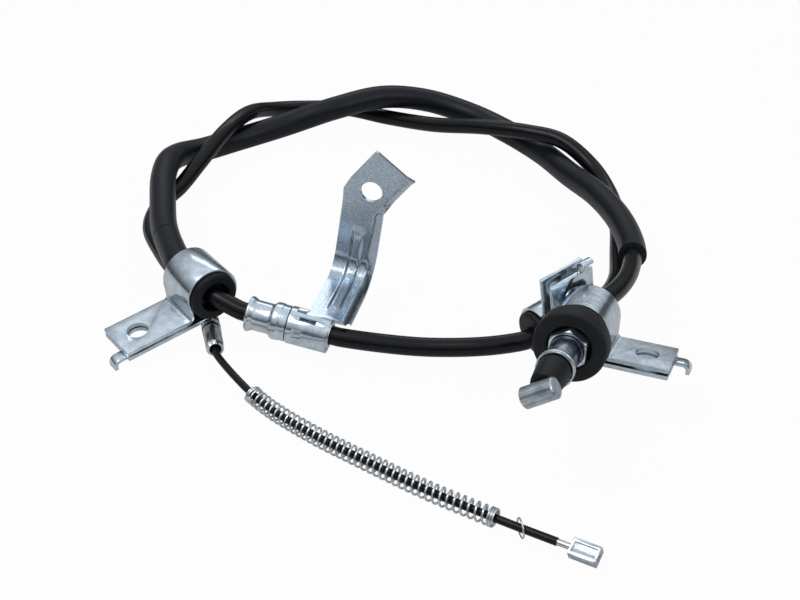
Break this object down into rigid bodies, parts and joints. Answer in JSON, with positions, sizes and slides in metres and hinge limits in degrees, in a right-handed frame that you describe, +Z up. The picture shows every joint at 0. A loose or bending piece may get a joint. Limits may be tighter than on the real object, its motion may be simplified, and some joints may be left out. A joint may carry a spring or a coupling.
{
  "type": "parking brake cable",
  "caption": "Parking brake cable in a steel-wound conduit, with clips on rubber bushes, a stamped bracket, a return spring and a nipple that slide with the inner cable.",
  "frame": {"origin": "under the middle of the whole cable's bounding box, at the surface that it lies on", "axes": "+Z up, -Y toward the viewer, +X to the viewer's right; the spring end and the lever end both point forward"},
  "size_m": [0.2308, 0.3538, 0.0768],
  "materials": {
    "cable_coat": "satin black coat",
    "conduit_armour": "wound steel",
    "conduit_jacket": "gloss black",
    "sleeve_rubber": "matte black",
    "clip_steel": "bright zinc plated",
    "bush_rubber": "matte black",
    "ferrule_steel": "satin",
    "spring_steel": "drawn wire",
    "fitting_steel": "pressed",
    "barrel_steel": "bright zinc plated",
    "bracket_steel": "bright zinc plated",
    "grommet_rubber": "matte black",
    "nipple_steel": "cast and tumbled"
  },
  "bodies": {
    "root": {"boot_band": "barrel_steel", "cable_boot": "bush_rubber", "conduit_armour": "conduit_armour", "conduit_jacket": "conduit_jacket", "crimp_barrel": "barrel_steel", "crimp_collar": "barrel_steel", "grommet": "grommet_rubber", "inner_cable": "cable_coat", "left_clip": "clip_steel", "left_clip_bush": "bush_rubber", "lever_ferrule": "barrel_steel", "long_sleeve": "sleeve_rubber", "right_clip": "clip_steel", "right_clip_bush": "bush_rubber", "short_sleeve": "sleeve_rubber", "stamped_bracket": "bracket_steel", "upper_clip": "clip_steel", "upper_clip_bush": "bush_rubber", "wheel_ferrule": "ferrule_steel"},
    "spring_end": {"end_fitting": "fitting_steel", "loose_ring": "spring_steel", "return_spring": "spring_steel"},
    "lever_end": {"barrel_nipple": "nipple_steel"}
  },
  "joints": [
    {"name": "lever_end_slide", "type": "slide", "parent": "root", "child": "lever_end", "axis": [-0.36, -0.92, 0.155], "range_m": [0, 0.015], "deforming": ["inner_cable"]},
    {"name": "spring_end_slide", "type": "slide", "parent": "root", "child": "spring_end", "axis": [0.866, -0.5, 0], "range_m": [-0.015, 0], "deforming": ["inner_cable"]}
  ],
  "couplings": [
    {"joint": "spring_end_slide", "follows": "lever_end_slide", "ratio": -1}
  ]
}
